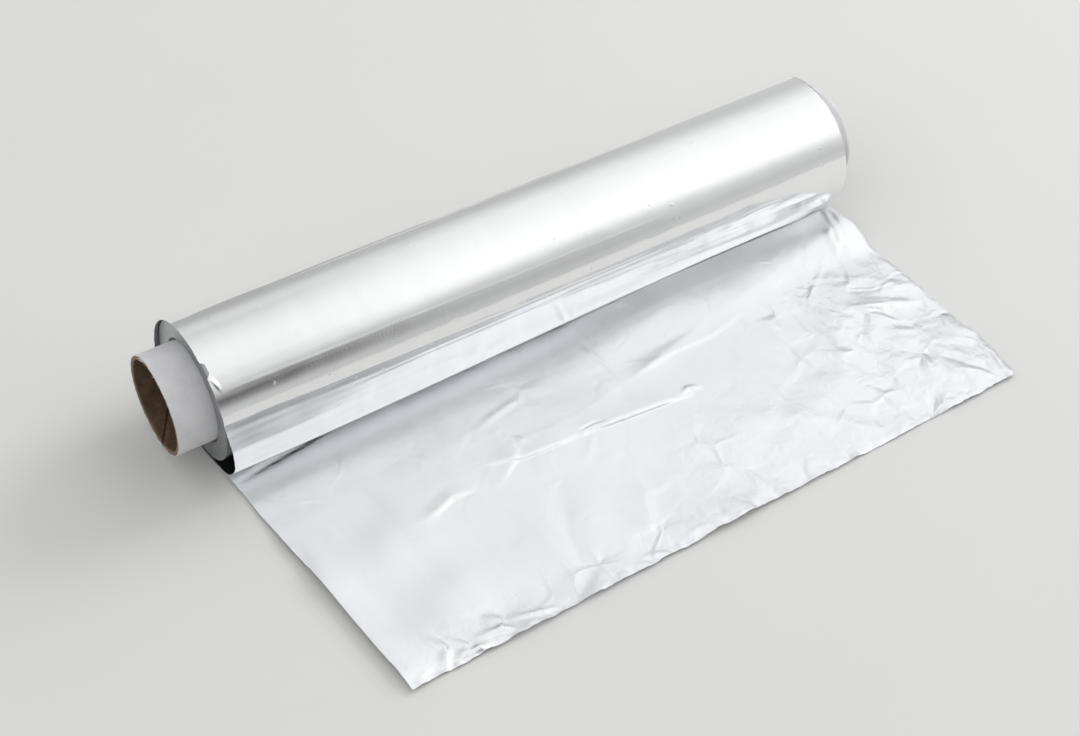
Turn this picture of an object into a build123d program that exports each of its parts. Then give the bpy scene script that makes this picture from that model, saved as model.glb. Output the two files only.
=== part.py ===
from build123d import *
import os
from math import cos, exp, hypot, pi, radians, sin, tan

# Lengths are millimetres and angles are degrees.
# X runs along the roll from its near end to its far end, Y points away from the unrolled sheet, Z is up.
# The origin is on the table, straight below the roll's axis, halfway along the foil.

# Foil: the width of the web, the thickness of the wound turns, and the wall that stands for the thin web
foil_width = 300.0
winding_build = 8.35
web_thickness = 0.3

# Core: a board tube with a white outer ply, longer than the foil is wide
core_bore_radius = 19.05
board_wall = 1.6
white_ply_wall = 0.3
core_near_overhang = 16.0
core_far_overhang = 9.5
core_rim_chamfer = 0.3

# Fits: the glue between board and ply, and the ease between ply and foil
glue_line = 0.02
winding_ease = 0.08

# Turns: bands of turns that end a little short of each other, and the innermost turns, which sit back
turn_bands = 6
turn_relief = 0.45
inner_turns_depth = 2.0
inner_turns_height = 0.7

# Bed: the flat strip of web that the roll rests on, with the small flat spot that the roll's weight makes
bed_behind_axis = 5.0
bed_before_axis = 16.0
flat_spot_depth = 0.05

# Sheet: how far it is pulled out at its two corners, and how far askew
near_corner_reach = 142.8
far_corner_reach = 137.0
sheet_skew = 7.0
skew_pivot = 10.0
far_edge_bow = 2.5

# Sheet: its hover over the table, which starts from the bed over a short ramp
sheet_hover = 1.1
sheet_ramp = 9.0

# Loose turn: where its slack starts to taper off along the roll, and over what length
slack_end = -120.0
slack_taper = 220.0
turn_end_inset = 0.5

# Facets of the web: the sheet's rows and columns, and the loose turn's steps and spans
sheet_rows = 22
sheet_columns = 44
turn_step = 7.5
turn_spans = 6

core_radius = core_bore_radius + board_wall + glue_line + white_ply_wall
winding_bore = core_radius + winding_ease
winding_radius = winding_bore + winding_build
axis_height = winding_radius + web_thickness - flat_spot_depth
half_width = foil_width / 2

# The loose turn's outline: its front hangs nearly plumb from 262 to 299 degrees and then curls under.
# The angle goes round the axis from straight below, first up the back.
# Then come the web's distance off the winding where the turn is slack, the same where it is snug,
# and how far the web has crept towards the near end.
turn_outline = [
    (18, 1.4, 1.0, 1.9),
    (60, 1.2, 0.5, 2.0),
    (120, 0.8, 0.35, 1.5),
    (180, 0.7, 0.45, 0.8),
    (210, 0.6, 0.8, 0.4),
    (254, 0.75, 0.9, 0.1),
    (262, 0.85, 0.9, -0.3),
    (270, 0.9, 0.9, -0.8),
    (277, 1.3, 1.1, -1.1),
    (284, 2.3, 1.9, -1.5),
    (292, 4.1, 2.8, -1.8),
    (299, 6.2, 2.8, -1.2),
    (304, 6.3, 2.5, -0.4),
    (310, 5.1, 1.8, 0.0),
    (318, 3.2, 1.0, 0.0),
    (326, 1.3, 0.3, 0.0),
    (332, 0.2, -0.2, 0.0),
    (338, -0.7, -0.7, 0.0),
]

# Creases of the sheet: the plan position of both ends, then height and half width.
# A negative height is a valley.
creases = [
    ((-147, -29), (-100, -22), -1.0, 5.0),
    ((-58, -66), (44, -77), 2.4, 7.0),
    ((-68, -60), (-58, -80), 2.0, 6.5),
    ((-118, -62), (-38, -42), 1.3, 9.0),
    ((-98, -102), (-70, -78), 1.5, 8.0),
    ((-3, -24), (14, -58), 1.4, 7.0),
    ((14, -58), (142, -38), -1.0, 10.0),
    ((44, -77), (148, -60), 1.3, 9.0),
    ((148, -30), (130, -52), 1.6, 7.0),
    ((126, -64), (156, -70), 1.6, 7.0),
    ((106, -84), (158, -88), 1.5, 7.0),
    ((84, -92), (120, -112), -0.9, 9.0),
    ((120, -112), (160, -128), 1.8, 8.0),
    ((60, -106), (96, -132), 1.3, 9.0),
    ((10, -92), (-4, -130), 1.3, 10.0),
    ((-104, -134), (-76, -124), 1.8, 7.0),
    ((-40, -92), (-52, -134), -0.8, 10.0),
]

# Broad swells of the sheet: centre in plan, radius and height
swells = [
    ((-108, -88), 22.0, 1.2),
    ((-40, -106), 26.0, 1.2),
    ((36, -44), 20.0, 0.8),
    ((58, -100), 24.0, 1.3),
    ((128, -96), 20.0, 1.5),
    ((150, -128), 14.0, 1.2),
    ((-118, -128), 16.0, 0.9),
]


def ease(t):
    """A smooth step from 0 to 1."""
    t = min(max(t, 0.0), 1.0)
    return t * t * (3 - 2 * t)


def near_edge_x(y):
    """The sheet's near edge in plan, which runs askew to the roll."""
    return -half_width - (y + skew_pivot) * tan(radians(sheet_skew))


def far_edge_x(y):
    """The sheet's far edge in plan, bowed outwards a little."""
    along = min(max((-y - bed_before_axis) / (far_corner_reach - bed_before_axis), 0.0), 1.0)
    return near_edge_x(y) + foil_width / cos(radians(sheet_skew)) + far_edge_bow * sin(pi * along)


def crease_frame(x, y, crease):
    """Where a point lies along and across a crease, and how long the crease is."""
    (x0, y0), (x1, y1) = crease[:2]
    length = hypot(x1 - x0, y1 - y0)
    along = ((x - x0) * (x1 - x0) + (y - y0) * (y1 - y0)) / length
    across = ((x - x0) * (y1 - y0) - (y - y0) * (x1 - x0)) / length
    return along, across, length


def crease_height(x, y, crease):
    """The height that one crease adds at a point: a sharp fold that fades out past both ends."""
    height, half = crease[2:]
    along, across, length = crease_frame(x, y, crease)
    beyond = max(-along, along - length, 0.0)
    return height * max(0.0, 1 - abs(across) / half) * max(0.0, 1 - beyond / (2 * half))


def sheet_height(x, y):
    """The height of the sheet's underside above the table."""
    total = sheet_hover + sum(crease_height(x, y, crease) for crease in creases)
    total += sum(rise * exp(-(hypot(x - cx, y - cy) / radius) ** 2) for (cx, cy), radius, rise in swells)
    return ease((-y - bed_before_axis) / sheet_ramp) * max(total, 0.0)


def on_crease(x, y, reach):
    """A point of the sheet in plan, moved onto the crease that it nearly lies on."""
    for crease in creases:
        along, across, length = crease_frame(x, y, crease)
        if 0 <= along <= length and abs(across) < reach:
            (x0, y0), (x1, y1) = crease[:2]
            return x - across * (y1 - y0) / length, y + across * (x1 - x0) / length
    return x, y


def sheet_rows_of_points():
    """The underside of the sheet as rows of points, from the bed to the free edge."""
    rows = []
    cell = min(foil_width / sheet_columns, (far_corner_reach - bed_before_axis) / sheet_rows)
    for row in range(sheet_rows + 1):
        points = []
        for column in range(sheet_columns + 1):
            share = column / sheet_columns
            reach = near_corner_reach + share * (far_corner_reach - near_corner_reach)
            y = -bed_before_axis - row / sheet_rows * (reach - bed_before_axis)
            x = near_edge_x(y) + share * (far_edge_x(y) - near_edge_x(y))
            if 0 < row < sheet_rows and 0 < column < sheet_columns:
                x, y = on_crease(x, y, 0.42 * cell)
            points.append((x, y, sheet_height(x, y)))
        rows.append(points)
    return rows


def outline_at(angle):
    """The slack, the snug distance and the creep of the loose turn at an angle."""
    for low, high in zip(turn_outline, turn_outline[1:]):
        if angle <= high[0]:
            share = max(angle - low[0], 0) / (high[0] - low[0])
            return [a + share * (b - a) for a, b in zip(low[1:], high[1:])]
    return turn_outline[-1][1:]


def turn_rows_of_points():
    """The outer and the inner side of the loose turn, from the bed round to its tail in the winding."""
    first, last = turn_outline[0][0], turn_outline[-1][0]
    steps = round((last - first) / turn_step)
    back = bed_behind_axis
    width = far_edge_x(back) - near_edge_x(back)
    shares = [span / turn_spans for span in range(turn_spans + 1)]
    outer_rows = [[(near_edge_x(back) + share * width, back, 0.0) for share in shares]]
    inner_rows = [[(x, y, z + web_thickness) for x, y, z in outer_rows[0]]]
    for step in range(steps + 1):
        angle = first + step * (last - first) / steps
        slack, snug, creep = outline_at(angle)
        inset = turn_end_inset if step == steps else 0.0
        outer, inner = [], []
        for share in shares:
            x = -half_width + inset + share * (foil_width - 2 * inset) - creep
            radius = winding_radius + slack + (snug - slack) * ease((x - slack_end) / slack_taper)
            for points, reach in ((inner, radius - web_thickness / 2), (outer, radius + web_thickness / 2)):
                points.append((x, reach * sin(radians(angle)), axis_height - reach * cos(radians(angle))))
        outer_rows.append(outer)
        inner_rows.append(inner)
    return outer_rows, inner_rows


def face_of(*points):
    """A flat face with straight edges through the given corners."""
    return Face(Wire.make_polygon(points, close=True))


def cell_faces(a, b, c, d):
    """Two triangles over a cell of the web, split along the diagonal that lies higher."""
    if a[2] + c[2] > b[2] + d[2]:
        return [face_of(a, b, c), face_of(a, c, d)]
    return [face_of(a, b, d), face_of(b, c, d)]


def skin(rows):
    """The facets of one side of the web."""
    faces = []
    for row, following in zip(rows, rows[1:]):
        for i in range(len(row) - 1):
            faces += cell_faces(row[i], row[i + 1], following[i + 1], following[i])
    return faces


def edge_strip(first_side, second_side):
    """The narrow facets along an edge of the web, between its two sides."""
    faces = []
    for i in range(len(first_side) - 1):
        a, b = first_side[i], first_side[i + 1]
        c, d = second_side[i + 1], second_side[i]
        faces += [face_of(a, b, c), face_of(a, c, d)]
    return faces


def make_free_web():
    """The loose turn, the bed and the sheet: one creased strip of foil."""
    lower = sheet_rows_of_points()
    upper = [[(x, y, z + web_thickness) for x, y, z in row] for row in lower]
    outer, inner = turn_rows_of_points()
    faces = skin(lower) + skin(upper) + skin(outer) + skin(inner)
    for column in (0, -1):
        faces += edge_strip([row[column] for row in lower], [row[column] for row in upper])
        faces += edge_strip([row[column] for row in outer], [row[column] for row in inner])
        faces.append(face_of(outer[0][column], inner[0][column], upper[0][column], lower[0][column]))
    faces += edge_strip(lower[-1], upper[-1])
    faces.append(face_of(*outer[-1], *reversed(inner[-1])))
    faces.append(face_of(*lower[0], *reversed(outer[0])))
    faces.append(face_of(*upper[0], *reversed(inner[0])))
    return Solid(Shell(faces))


def make_winding():
    """The wound turns: a ring whose ends step in and out from one band of turns to the next."""
    first_band = winding_bore + inner_turns_height
    band = (winding_radius - first_band) / turn_bands
    far = [(half_width - inner_turns_depth, winding_bore), (half_width - inner_turns_depth, first_band)]
    for turn in range(turn_bands):
        inner = first_band + turn * band
        short = 0.0 if turn == turn_bands - 1 else turn_relief * abs(sin(2.4 * (turn + 1)))
        far.append((half_width - short, inner))
        far.append((half_width - short, inner + band))
    near = [(-x, r) for x, r in reversed(far)]
    return Pos(0, 0, axis_height) * revolve(make_face(Polyline(*far, *near, close=True)), Axis.X, 360)


def make_foil():
    """The whole web as one solid: the winding and the free web that grows out of it."""
    return make_winding().fuse(make_free_web())


def make_tube(bore, outside, chamfer):
    """A tube as long as the core, with the given chamfer inside its rims."""
    near = -half_width - core_near_overhang
    far = half_width + core_far_overhang
    profile = [(near, outside), (far, outside)]
    if chamfer:
        profile += [(far, bore + chamfer), (far - chamfer, bore), (near + chamfer, bore), (near, bore + chamfer)]
    else:
        profile += [(far, bore), (near, bore)]
    return Pos(0, 0, axis_height) * revolve(make_face(Polyline(*profile, close=True)), Axis.X, 360)


def make_core_tube():
    """The board tube, with the inside of its rims worn to a small chamfer."""
    return make_tube(core_bore_radius, core_bore_radius + board_wall, core_rim_chamfer)


def make_core_white_ply():
    """The white ply, glued round the board tube."""
    return make_tube(core_bore_radius + board_wall + glue_line, core_radius, 0)


os.makedirs("parts", exist_ok=True)
export_step(make_core_tube(), "parts/core_tube.step")
export_step(make_core_white_ply(), "parts/core_white_ply.step")
export_step(make_foil(), "parts/foil.step")
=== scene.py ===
from math import cos, hypot, pi, radians, sin, tan

import bpy
import numpy as np
from mathutils import Matrix, Vector, geometry
from mathutils.bvhtree import BVHTree


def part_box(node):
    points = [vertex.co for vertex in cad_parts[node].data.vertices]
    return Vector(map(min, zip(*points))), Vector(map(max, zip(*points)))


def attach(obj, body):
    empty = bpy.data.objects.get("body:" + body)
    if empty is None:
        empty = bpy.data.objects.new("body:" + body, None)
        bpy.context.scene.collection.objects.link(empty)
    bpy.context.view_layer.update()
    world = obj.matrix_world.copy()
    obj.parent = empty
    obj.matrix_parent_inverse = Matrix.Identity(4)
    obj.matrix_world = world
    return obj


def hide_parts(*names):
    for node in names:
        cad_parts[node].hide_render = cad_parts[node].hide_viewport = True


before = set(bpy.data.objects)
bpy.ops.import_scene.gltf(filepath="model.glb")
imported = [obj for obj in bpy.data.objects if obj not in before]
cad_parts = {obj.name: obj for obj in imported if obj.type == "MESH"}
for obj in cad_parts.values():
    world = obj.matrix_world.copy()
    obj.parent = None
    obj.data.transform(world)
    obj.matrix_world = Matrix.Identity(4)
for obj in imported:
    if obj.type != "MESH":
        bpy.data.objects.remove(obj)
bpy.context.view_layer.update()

# Shapes are worked out in millimetres, in the part's own frame, and turned to metres when a mesh is made.
# X runs along the roll to its far end, Y points away from the unrolled sheet, Z is up.
MM = 0.001

# Sizes that come from the frame
tube_low, tube_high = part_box("core_tube")
wrap_low, wrap_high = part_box("core_white_ply")
tube_near = tube_low.x / MM
tube_far = tube_high.x / MM
axis_height = (tube_low.z + tube_high.z) / 2 / MM
board_outside = (tube_high.z - tube_low.z) / 2 / MM
wrap_outside = (wrap_high.z - wrap_low.z) / 2 / MM

# Foil: the web's width and wall, the winding and its bore, and where the turn leaves the table
foil_width = 300.0
half_width = foil_width / 2
web_wall = 0.1
winding_radius = axis_height - 0.25
winding_bore = wrap_outside + 0.08
bed_back = 5.0
bed_front = -16.0

# Core: its bore, and the pitch and start of the helical seams in the board and in the white ply
core_bore = 19.05
board_pitch = 78.0
board_seam = -163.2
wrap_pitch = 96.0
wrap_seam = -151.0
wrap_inside = board_outside + 0.02

# Sheet: its free corners, how far askew it runs, and how far it hovers over the table, free and
# beside the roll
near_corner_y = -142.8
far_corner_y = -137.0
sheet_skew = 7.0
skew_pivot = 10.0
sheet_hover = 1.0
roll_side_hover = 0.45

# Grids of the two loose stretches of foil, as (line, place) marks with even lines between them. Rows go
# round the winding or down the sheet, and columns go across the web.
turn_rows = 281
turn_columns = [(0, 0.0), (1, 0.0004), (21, 0.024), (171, 0.993), (173, 0.9996), (174, 1.0)]
sheet_rows = [(0, 0.0), (12, 0.17), (44, 0.42), (102, 0.585), (132, 0.90), (146, 0.9993), (147, 1.0)]
sheet_columns = [(0, 0.0), (1, 0.0004), (3, 0.005), (296, 0.995), (298, 0.9996), (299, 1.0)]

rng = np.random.RandomState(23)


def ease(t):
    """A smooth step from 0 to 1."""
    t = np.clip(t, 0.0, 1.0)
    return t * t * (3 - 2 * t)


def soft_noise(x, y, size, seed):
    """Smooth noise from -1 to 1 over a plane, with swells of about the given size."""
    lattice = np.random.RandomState(seed).uniform(-1, 1, (64, 64))
    u = x / size + 320.5
    v = y / size + 320.5
    i = np.floor(u).astype(int)
    j = np.floor(v).astype(int)
    s = ease(u - i)
    t = ease(v - j)
    low = lattice[i % 64, j % 64] * (1 - s) + lattice[(i + 1) % 64, j % 64] * s
    high = lattice[i % 64, (j + 1) % 64] * (1 - s) + lattice[(i + 1) % 64, (j + 1) % 64] * s
    return low * (1 - t) + high * t


def blur(values, passes):
    """A grid of values with its corners rounded, as foil rounds them, by the given number of passes."""
    for _ in range(passes):
        padded = np.pad(values, 1, mode="edge")
        values = (padded[:-2, 1:-1] + 2 * padded[1:-1, 1:-1] + padded[2:, 1:-1]) / 4
        padded = np.pad(values, 1, mode="edge")
        values = (padded[1:-1, :-2] + 2 * padded[1:-1, 1:-1] + padded[1:-1, 2:]) / 4
    return values


def place_piece(name, data):
    """A new object in the scene for a mesh, a lamp or a camera."""
    piece = bpy.data.objects.new(name, data)
    bpy.context.scene.collection.objects.link(piece)
    return piece


def grid_piece(name, points, web=None, round_rows=False, round_columns=False):
    """A smooth mesh over a grid of points in millimetres, which may close on itself both ways."""
    rows, columns = points.shape[:2]
    row = np.arange(rows if round_rows else rows - 1)
    column = np.arange(columns if round_columns else columns - 1)
    r, c = np.meshgrid(row, column, indexing="ij")
    following_r = (r + 1) % rows
    following_c = (c + 1) % columns
    corners = [r * columns + c, r * columns + following_c,
               following_r * columns + following_c, following_r * columns + c]
    quads = np.stack(corners, axis=-1).reshape(-1, 4)
    mesh = bpy.data.meshes.new(name)
    mesh.from_pydata((points.reshape(-1, 3) * MM).tolist(), [], quads.tolist())
    mesh.polygons.foreach_set("use_smooth", np.ones(len(quads), bool))
    if web is not None:
        attribute = mesh.attributes.new("web", "FLOAT_VECTOR", "POINT")
        attribute.data.foreach_set("vector", web.astype(np.float32).reshape(-1, 3).ravel())
    mesh.update()
    return place_piece(name, mesh)


def between(marks, at):
    """Values read off straight lines between (place, value) marks."""
    places, values = np.array(marks).T
    return np.interp(at, places, values)


def grid_places(marks):
    """The places of all lines of a grid, from the marks of a few."""
    return between(marks, np.arange(marks[-1][0] + 1))


def around_axis(x, radius, angle):
    """Points at a radius from the roll's axis. The angle goes from straight below, first up the back."""
    y = radius * np.sin(angle)
    z = axis_height - radius * np.cos(angle)
    return np.stack(np.broadcast_arrays(x, y, z), axis=-1)


# Node groups for effects that materials share or use more than once


def new_group(name, place, settings, outputs):
    """An empty shader node group and its two end nodes.

    Its inputs are a place, which is a vector, and settings, which are numbers. Its outputs are numbers."""
    group = bpy.data.node_groups.new(name, "ShaderNodeTree")
    group.interface.new_socket(place, in_out="INPUT", socket_type="NodeSocketVector")
    for label, value in settings.items():
        socket = group.interface.new_socket(label, in_out="INPUT", socket_type="NodeSocketFloat")
        socket.default_value = value
    for label in outputs:
        group.interface.new_socket(label, in_out="OUTPUT", socket_type="NodeSocketFloat")
    return group, group.nodes.new("NodeGroupInput"), group.nodes.new("NodeGroupOutput")


def fill(tree, socket, value):
    """A socket linked to another one, or set to a plain value."""
    if isinstance(value, bpy.types.NodeSocket):
        tree.links.new(value, socket)
    else:
        socket.default_value = value


def fill_inputs(tree, made, **values):
    """The inputs of a node, filled by name."""
    for label, value in values.items():
        fill(tree, made.inputs[label.replace("_", " ")], value)


def node(tree, kind, **settings):
    """A new node of a kind. A setting that isn't a property of it fills the input of that name."""
    made = tree.nodes.new(kind)
    for label, value in settings.items():
        if hasattr(made, label):
            setattr(made, label, value)
        else:
            fill_inputs(tree, made, **{label: value})
    return made


def math_node(tree, operation, first, second=None, third=None):
    """The result of one sum on sockets or numbers."""
    made = tree.nodes.new("ShaderNodeMath")
    made.operation = operation
    for socket, value in zip(made.inputs, (first, second, third)):
        if value is not None:
            fill(tree, socket, value)
    return made.outputs[0]


def vector_math(tree, operation, first, second):
    """The result of one sum on vectors."""
    made = tree.nodes.new("ShaderNodeVectorMath")
    made.operation = operation
    for socket, value in zip(made.inputs, (first, second)):
        fill(tree, socket, value)
    return made.outputs["Value" if operation == "DOT_PRODUCT" else "Vector"]


def flat_noise(tree, place, scale, **settings):
    """A noise over a plane."""
    made = node(tree, "ShaderNodeTexNoise", noise_dimensions="2D", **settings)
    fill_inputs(tree, made, Vector=place, Scale=scale)
    return made


def flat_cells(tree, place, scale, **settings):
    """Cells of irregular shape over a plane."""
    made = node(tree, "ShaderNodeTexVoronoi", voronoi_dimensions="2D", **settings)
    fill_inputs(tree, made, Vector=place, Scale=scale)
    return made


def mix_colours(tree, share, first, second):
    """A colour between two sockets or plain colours, by a share from 0 to 1."""
    made = node(tree, "ShaderNodeMix", data_type="RGBA", Factor=share)
    for socket, colour in zip(made.inputs[6:8], (first, second)):
        plain = isinstance(colour, tuple)
        fill(tree, socket, (*colour, 1.0) if plain else colour)
    return made.outputs[2]


def remap(tree, value, start, stop, low=0.0, high=1.0, **settings):
    """A value between a start and a stop, mapped to the range from low to high."""
    limits = {"From_Min": start, "From_Max": stop, "To_Min": low, "To_Max": high}
    return node(tree, "ShaderNodeMapRange", Value=value, **limits, **settings).outputs["Result"]


def place_group(tree, group, **values):
    """A group placed in a material, with its inputs filled by name."""
    made = tree.nodes.new("ShaderNodeGroup")
    made.node_tree = group
    fill_inputs(tree, made, **values)
    return made


def make_rolling_lines():
    """Fine lines that the rolling mill leaves along the web, with broader streaks between them."""
    settings = {"Line Width": 0.35}
    group, start, end = new_group("rolling_lines", "Web", settings, ["Height", "Streak", "Grain"])
    web = start.outputs["Web"]
    across = math_node(group, "DIVIDE", 1.0, start.outputs["Line Width"])
    stretch = node(group, "ShaderNodeCombineXYZ", X=across, Y=0.02, Z=0.0)
    lines = vector_math(group, "MULTIPLY", web, stretch.outputs[0])
    fine = flat_noise(group, lines, 1.0, Detail=3.0, Roughness=0.6)
    broad_lines = vector_math(group, "MULTIPLY", web, (0.12, 0.006, 0.0))
    broad = flat_noise(group, broad_lines, 1.0, Detail=4.0, Roughness=0.55)
    speckled = vector_math(group, "MULTIPLY", web, (1.3, 1.3, 0.0))
    grain = flat_noise(group, speckled, 1.0, Detail=1.0, Roughness=0.7)
    ends = {"Height": fine.outputs["Fac"], "Streak": broad.outputs["Fac"], "Grain": grain.outputs["Fac"]}
    fill_inputs(group, end, **ends)
    return group


def make_small_dents():
    """Pits and pimples that handling leaves, one in some of the cells of a loose pattern."""
    settings = {"Spacing": 9.0, "Size": 0.09, "Share": 0.3}
    group, start, end = new_group("small_dents", "Web", settings, ["Height", "Mask"])
    scale = math_node(group, "DIVIDE", 1.0, start.outputs["Spacing"])
    cells = flat_cells(group, start.outputs["Web"], scale)
    split = node(group, "ShaderNodeSeparateColor", Color=cells.outputs["Color"])
    chosen = math_node(group, "LESS_THAN", split.outputs[0], start.outputs["Share"])
    nearness = math_node(group, "DIVIDE", cells.outputs["Distance"], start.outputs["Size"])
    bump = math_node(group, "SUBTRACT", 1.0, nearness)
    bump = math_node(group, "MAXIMUM", bump, 0.0)
    bump = math_node(group, "SMOOTH_MIN", bump, 0.8, 0.4)
    sign = math_node(group, "GREATER_THAN", split.outputs[1], 0.4)
    sign = math_node(group, "MULTIPLY_ADD", sign, 2.0, -1.0)
    mask = math_node(group, "MULTIPLY", bump, chosen)
    height = math_node(group, "MULTIPLY", mask, sign)
    fill_inputs(group, end, Height=height, Mask=mask)
    return group


def make_crumple_facets():
    """Small flat facets, each tilted its own way, with narrow folds between them."""
    settings = {"Size": 8.0, "Tilt": 0.1, "Fold": 0.1}
    group, start, end = new_group("crumple_facets", "Web", settings, ["Height"])
    web = start.outputs["Web"]
    size = start.outputs["Size"]
    scale = math_node(group, "DIVIDE", 1.0, size)
    warp_scale = math_node(group, "MULTIPLY", scale, 0.7)
    warp = flat_noise(group, web, warp_scale, Detail=1.0)
    warp = vector_math(group, "SUBTRACT", warp.outputs["Color"], (0.5, 0.5, 0.5))
    reach = node(group, "ShaderNodeVectorMath", operation="SCALE", Vector=warp, Scale=size)
    warped = vector_math(group, "ADD", web, reach.outputs[0])
    cells = flat_cells(group, warped, scale)
    edges = flat_cells(group, warped, scale, feature="DISTANCE_TO_EDGE")
    offset = vector_math(group, "SUBTRACT", warped, cells.outputs["Position"])
    lean = vector_math(group, "SUBTRACT", cells.outputs["Color"], (0.5, 0.5, 0.5))
    rise = vector_math(group, "DOT_PRODUCT", offset, lean)
    flat = math_node(group, "DIVIDE", edges.outputs["Distance"], start.outputs["Fold"])
    flat = math_node(group, "SMOOTH_MIN", flat, 1.0, 0.3)
    height = math_node(group, "MULTIPLY", rise, flat)
    height = math_node(group, "MULTIPLY", height, start.outputs["Tilt"])
    fill_inputs(group, end, Height=height)
    return group


def make_paper_fibres():
    """Long fibres that lie every way in paper and board, and the clouds that they gather in."""
    settings = {"Fibre Length": 1.4, "Cloud Size": 4.0}
    group, start, end = new_group("paper_fibres", "Place", settings, ["Fibre", "Cloud"])
    place = start.outputs["Place"]
    along = math_node(group, "DIVIDE", 1.0, start.outputs["Fibre Length"])
    across = math_node(group, "MULTIPLY", along, 7.0)
    layers = []
    for turn in (0.4, 1.5, 2.5):
        turned = node(group, "ShaderNodeVectorRotate", Vector=place, Angle=turn)
        turned.rotation_type = "X_AXIS"
        stretch = node(group, "ShaderNodeCombineXYZ", X=along, Y=across, Z=across)
        laid = vector_math(group, "MULTIPLY", turned.outputs[0], stretch.outputs[0])
        fibre = node(group, "ShaderNodeTexNoise", Vector=laid, Scale=1.0, Detail=2.0, Roughness=0.6)
        layers.append(fibre.outputs["Fac"])
    total = math_node(group, "MAXIMUM", layers[0], layers[1])
    total = math_node(group, "MAXIMUM", total, layers[2])
    size = math_node(group, "DIVIDE", 1.0, start.outputs["Cloud Size"])
    cloud = node(group, "ShaderNodeTexNoise", Vector=place, Scale=size, Detail=5.0)
    fill_inputs(group, end, Fibre=total, Cloud=cloud.outputs["Fac"])
    return group


rolling_lines = make_rolling_lines()
small_dents = make_small_dents()
crumple_facets = make_crumple_facets()
paper_fibres = make_paper_fibres()


# Materials


def new_material(name):
    """A material with its node tree and its Principled shader."""
    material = bpy.data.materials.new(name)
    material.use_nodes = True
    return material, material.node_tree, material.node_tree.nodes["Principled BSDF"]


def ramp(tree, factor, stops):
    """A colour ramp over a factor, from (place, colour) stops."""
    made = tree.nodes.new("ShaderNodeValToRGB")
    tree.links.new(factor, made.inputs["Fac"])
    while len(made.color_ramp.elements) < len(stops):
        made.color_ramp.elements.new(0.5)
    for element, (place, colour) in zip(made.color_ramp.elements, stops):
        element.position = place
        element.color = (*colour, 1.0)
    return made.outputs["Color"]


def millimetres(tree):
    """The place on a piece in millimetres of the part's frame."""
    place = tree.nodes.new("ShaderNodeTexCoord").outputs["Object"]
    return vector_math(tree, "MULTIPLY", place, (1 / MM, 1 / MM, 1 / MM))


def add_bumps(tree, shader, bumps):
    """Heights added up into one bump on the shader's normal, from (height, depth in mm) pairs."""
    total = 0.0
    for height, depth in bumps:
        total = math_node(tree, "MULTIPLY_ADD", height, depth, total)
    bump = node(tree, "ShaderNodeBump", Height=total, Distance=MM)
    fill_inputs(tree, shader, Normal=bump.outputs["Normal"])


# Facets that the crumpled side shows in its normals: their size in millimetres, how wide the folds
# between them are, and how far they tilt
facet_sizes = [(15.0, 0.15, 0.1), (4.4, 0.25, 0.07)]


def make_foil_finish(name, colour, roughness, grain_depth, dent_depth, crumpled=False, painted_light=None):
    """One side of the foil: rolling lines, grain, small dents and, where it is crumpled, facets and a
    painted shade that darkens its tint.

    The third value of the web says how crumpled it is, or how far it takes the painted light colour."""
    material, tree, shader = new_material(name)
    web = node(tree, "ShaderNodeAttribute", attribute_name="web").outputs["Vector"]
    flat_web = vector_math(tree, "MULTIPLY", web, (1.0, 1.0, 0.0))
    lines = place_group(tree, rolling_lines, Web=flat_web, Line_Width=0.35)
    dents = place_group(tree, small_dents, Web=flat_web, Spacing=11.0, Size=0.07, Share=0.22)
    streak = lines.outputs["Streak"]
    rough = remap(tree, streak, 0, 1, roughness * 0.85, roughness * 1.15)
    bumps = [
        (lines.outputs["Height"], 0.004),
        (lines.outputs["Grain"], grain_depth),
        (dents.outputs["Height"], dent_depth),
    ]
    if crumpled:
        crumple = node(tree, "ShaderNodeSeparateXYZ", Vector=web).outputs["Z"]
        for size, fold, share in facet_sizes:
            tilt = math_node(tree, "MULTIPLY", crumple, share)
            facet = place_group(tree, crumple_facets, Web=flat_web, Size=size, Tilt=tilt, Fold=fold)
            bumps.append((facet.outputs["Height"], 1.0))
        rough = math_node(tree, "MULTIPLY_ADD", crumple, -0.1, rough)
        # Painted shade: crumpled places are tinted darker, towards the dull colour, for the shade between
        # their folds.
        streak = math_node(tree, "MULTIPLY_ADD", crumple, -0.1, streak)
    light = tuple(channel * 1.008 for channel in colour)
    dark = tuple(channel * 0.985 for channel in colour)
    dull_and_shaded = tuple(channel * 0.94 for channel in colour)
    tint = ramp(tree, streak, [(0.0, dull_and_shaded), (0.3, dark), (0.7, light)])
    # Painted light and shade: foil in the gap keeps its dark tint as painted shade, and takes the lighter
    # colour as painted light where the web's third value says so.
    if painted_light is not None:
        painted_light_share = node(tree, "ShaderNodeSeparateXYZ", Vector=web).outputs["Z"]
        tint = mix_colours(tree, painted_light_share, tint, painted_light)
    fill_inputs(tree, shader, Base_Color=tint, Metallic=1.0, Roughness=rough)
    add_bumps(tree, shader, bumps)
    return material


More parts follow.
